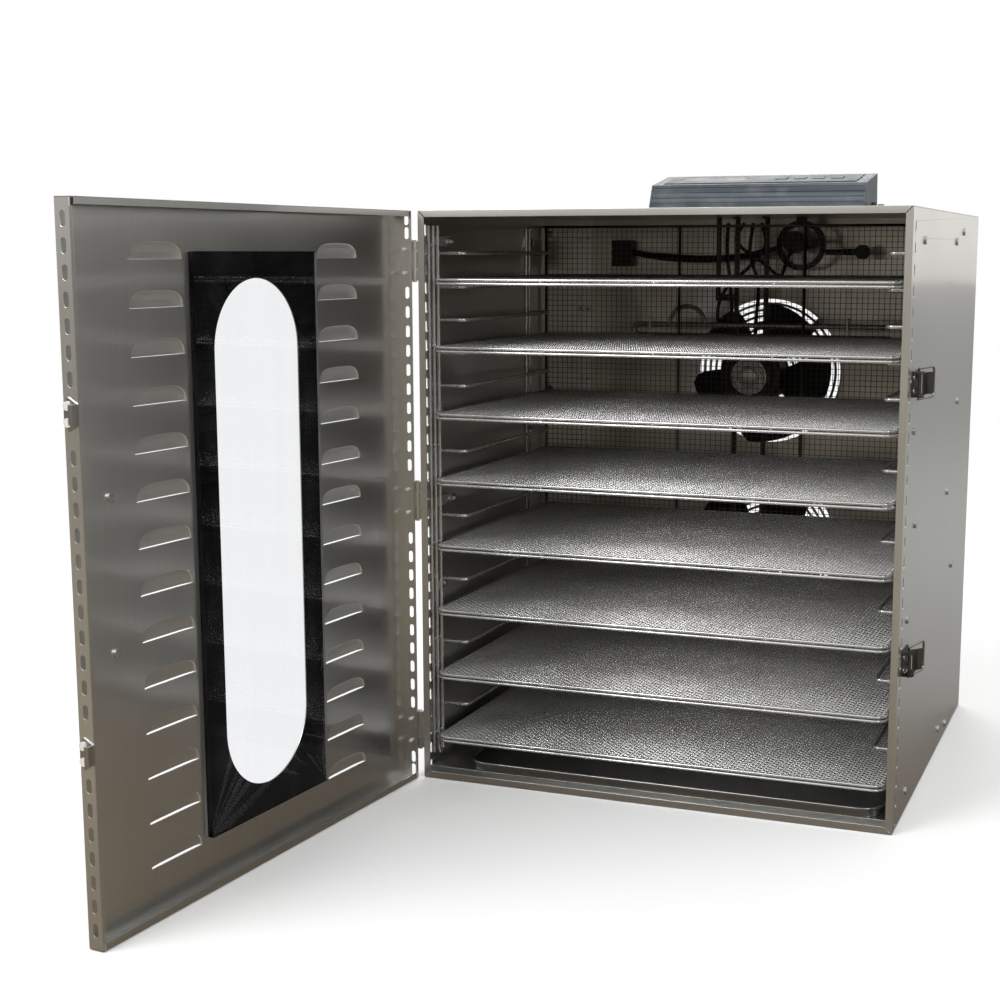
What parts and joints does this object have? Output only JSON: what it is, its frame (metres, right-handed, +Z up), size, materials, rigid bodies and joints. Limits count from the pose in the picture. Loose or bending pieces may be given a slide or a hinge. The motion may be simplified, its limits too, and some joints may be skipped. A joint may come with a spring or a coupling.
{
  "type": "food dehydrator",
  "caption": "Steel cabinet food dehydrator with a glazed louvred door, sliding mesh trays, a drip pan, rear fans, a heater and a control console on top.",
  "frame": {"origin": "centre of the cabinet footprint, on the underside of the base", "axes": "+Z up, -Y towards the front opening, +X towards the latches"},
  "size_m": [0.6093, 1.0103, 0.6325],
  "materials": {
    "cabinet_steel": "brushed, satin",
    "guard_wire": "dark",
    "bright_wire": "bright",
    "pan_steel": "satin",
    "fasteners": "bright",
    "hardware": "satin",
    "door_steel": "brushed, satin",
    "glass": "clear",
    "black_seal": "gloss",
    "motor_metal": "satin",
    "heater_tube": "heat-tinted",
    "black_plastic": "matte",
    "black_rubber": "matte",
    "console_paint": "satin",
    "panel_plastic": "matte",
    "display": "gloss",
    "board": "matte",
    "key_plastic": "matte"
  },
  "bodies": {
    "cabinet": {"left_side": "cabinet_steel", "right_side": "cabinet_steel", "top_cover": "cabinet_steel", "base_pan": "cabinet_steel", "floor_liner": "cabinet_steel", "rear_panel": "cabinet_steel", "mesh_guard": "guard_wire", "left_rack": "bright_wire", "right_rack": "bright_wire", "fan_motor_upper": "motor_metal", "fan_motor_lower": "motor_metal", "fan_straps": "motor_metal", "heater_element": "heater_tube", "heater_brackets": "hardware", "thermal_cutout": "black_plastic", "temp_probe": "black_plastic", "terminal_block": "black_plastic", "wiring_loom": "black_rubber", "hinge_leaves_cabinet": "hardware", "hinge_pins": "fasteners", "latch_bases": "hardware", "cabinet_rivets": "fasteners", "side_screws": "fasteners", "console_shell": "console_paint", "console_end_caps": "console_paint", "control_panel": "panel_plastic", "display_window": "display", "control_board": "board", "switch_body": "black_plastic", "power_inlet": "black_plastic", "cable_grommet": "black_rubber"},
    "door": {"door_pan": "door_steel", "door_glass": "glass", "glass_seal": "black_seal", "door_handle": "hardware", "handle_screws": "fasteners", "latch_strikes": "hardware", "door_rivets": "fasteners", "hinge_leaves_door": "hardware"},
    "drip_pan": {"drip_pan": "pan_steel"},
    "fan_upper": {"fan_impeller_upper": "black_plastic"},
    "fan_lower": {"fan_impeller_lower": "black_plastic"},
    "lever_upper": {"latch_lever_upper": "hardware"},
    "lever_lower": {"latch_lever_lower": "hardware"},
    "bail_upper": {"latch_bail_upper": "bright_wire"},
    "bail_lower": {"latch_bail_lower": "bright_wire"},
    "rocker": {"switch_rocker": "black_plastic"},
    "key_up": {"key_up": "key_plastic"},
    "key_down": {"key_down": "key_plastic"},
    "key_set": {"key_set": "key_plastic"},
    "key_start": {"key_start": "key_plastic"},
    "tray_1": {"tray_1": "bright_wire"},
    "tray_2": {"tray_2": "bright_wire"},
    "tray_3": {"tray_3": "bright_wire"},
    "tray_4": {"tray_4": "bright_wire"},
    "tray_5": {"tray_5": "bright_wire"},
    "tray_6": {"tray_6": "bright_wire"},
    "tray_7": {"tray_7": "bright_wire"},
    "tray_8": {"tray_8": "bright_wire"}
  },
  "joints": [
    {"name": "door_swing", "type": "hinge", "parent": "cabinet", "child": "door", "pos_m": [-0.2538, -0.2505, 0.301], "axis": [0, 0, -1], "range_deg": [-95, 80]},
    {"name": "tray_1_slide", "type": "slide", "parent": "cabinet", "child": "tray_1", "axis": [0, -1, 0], "range_m": [0, 0.28]},
    {"name": "tray_2_slide", "type": "slide", "parent": "cabinet", "child": "tray_2", "axis": [0, -1, 0], "range_m": [0, 0.28]},
    {"name": "tray_3_slide", "type": "slide", "parent": "cabinet", "child": "tray_3", "axis": [0, -1, 0], "range_m": [0, 0.28]},
    {"name": "tray_4_slide", "type": "slide", "parent": "cabinet", "child": "tray_4", "axis": [0, -1, 0], "range_m": [0, 0.28]},
    {"name": "tray_5_slide", "type": "slide", "parent": "cabinet", "child": "tray_5", "axis": [0, -1, 0], "range_m": [0, 0.28]},
    {"name": "tray_6_slide", "type": "slide", "parent": "cabinet", "child": "tray_6", "axis": [0, -1, 0], "range_m": [0, 0.28]},
    {"name": "tray_7_slide", "type": "slide", "parent": "cabinet", "child": "tray_7", "axis": [0, -1, 0], "range_m": [0, 0.28]},
    {"name": "tray_8_slide", "type": "slide", "parent": "cabinet", "child": "tray_8", "axis": [0, -1, 0], "range_m": [0, 0.28]},
    {"name": "drip_pan_slide", "type": "slide", "parent": "cabinet", "child": "drip_pan", "axis": [0, -1, 0], "range_m": [0, 0.28]},
    {"name": "fan_upper_spin", "type": "hinge", "parent": "cabinet", "child": "fan_upper", "pos_m": [0, 0.21, 0.41], "axis": [0, 1, 0], "continuous": true},
    {"name": "fan_lower_spin", "type": "hinge", "parent": "cabinet", "child": "fan_lower", "pos_m": [0, 0.21, 0.19], "axis": [0, 1, 0], "continuous": true},
    {"name": "lever_upper_swing", "type": "hinge", "parent": "cabinet", "child": "lever_upper", "pos_m": [0.257, -0.224, 0.435], "axis": [0, 0, -1], "range_deg": [0, 110]},
    {"name": "bail_upper_swing", "type": "hinge", "parent": "lever_upper", "child": "bail_upper", "pos_m": [0.2552, -0.217, 0.435], "axis": [0, 0, 1], "range_deg": [-172, 5]},
    {"name": "lever_lower_swing", "type": "hinge", "parent": "cabinet", "child": "lever_lower", "pos_m": [0.257, -0.224, 0.165], "axis": [0, 0, -1], "range_deg": [0, 110]},
    {"name": "bail_lower_swing", "type": "hinge", "parent": "lever_lower", "child": "bail_lower", "pos_m": [0.2552, -0.217, 0.165], "axis": [0, 0, 1], "range_deg": [-172, 5]},
    {"name": "rocker_tilt", "type": "hinge", "parent": "cabinet", "child": "rocker", "pos_m": [0.11, 0.248, 0.06], "axis": [1, 0, 0], "range_deg": [-12, 0]},
    {"name": "key_up_press", "type": "slide", "parent": "cabinet", "child": "key_up", "axis": [0, 0.1875, -0.9823], "range_m": [0, 0.001], "stiffness_N_per_m": 300},
    {"name": "key_down_press", "type": "slide", "parent": "cabinet", "child": "key_down", "axis": [0, 0.1875, -0.9823], "range_m": [0, 0.001], "stiffness_N_per_m": 300},
    {"name": "key_set_press", "type": "slide", "parent": "cabinet", "child": "key_set", "axis": [0, 0.1875, -0.9823], "range_m": [0, 0.001], "stiffness_N_per_m": 300},
    {"name": "key_start_press", "type": "slide", "parent": "cabinet", "child": "key_start", "axis": [0, 0.1875, -0.9823], "range_m": [0, 0.001], "stiffness_N_per_m": 300}
  ]
}
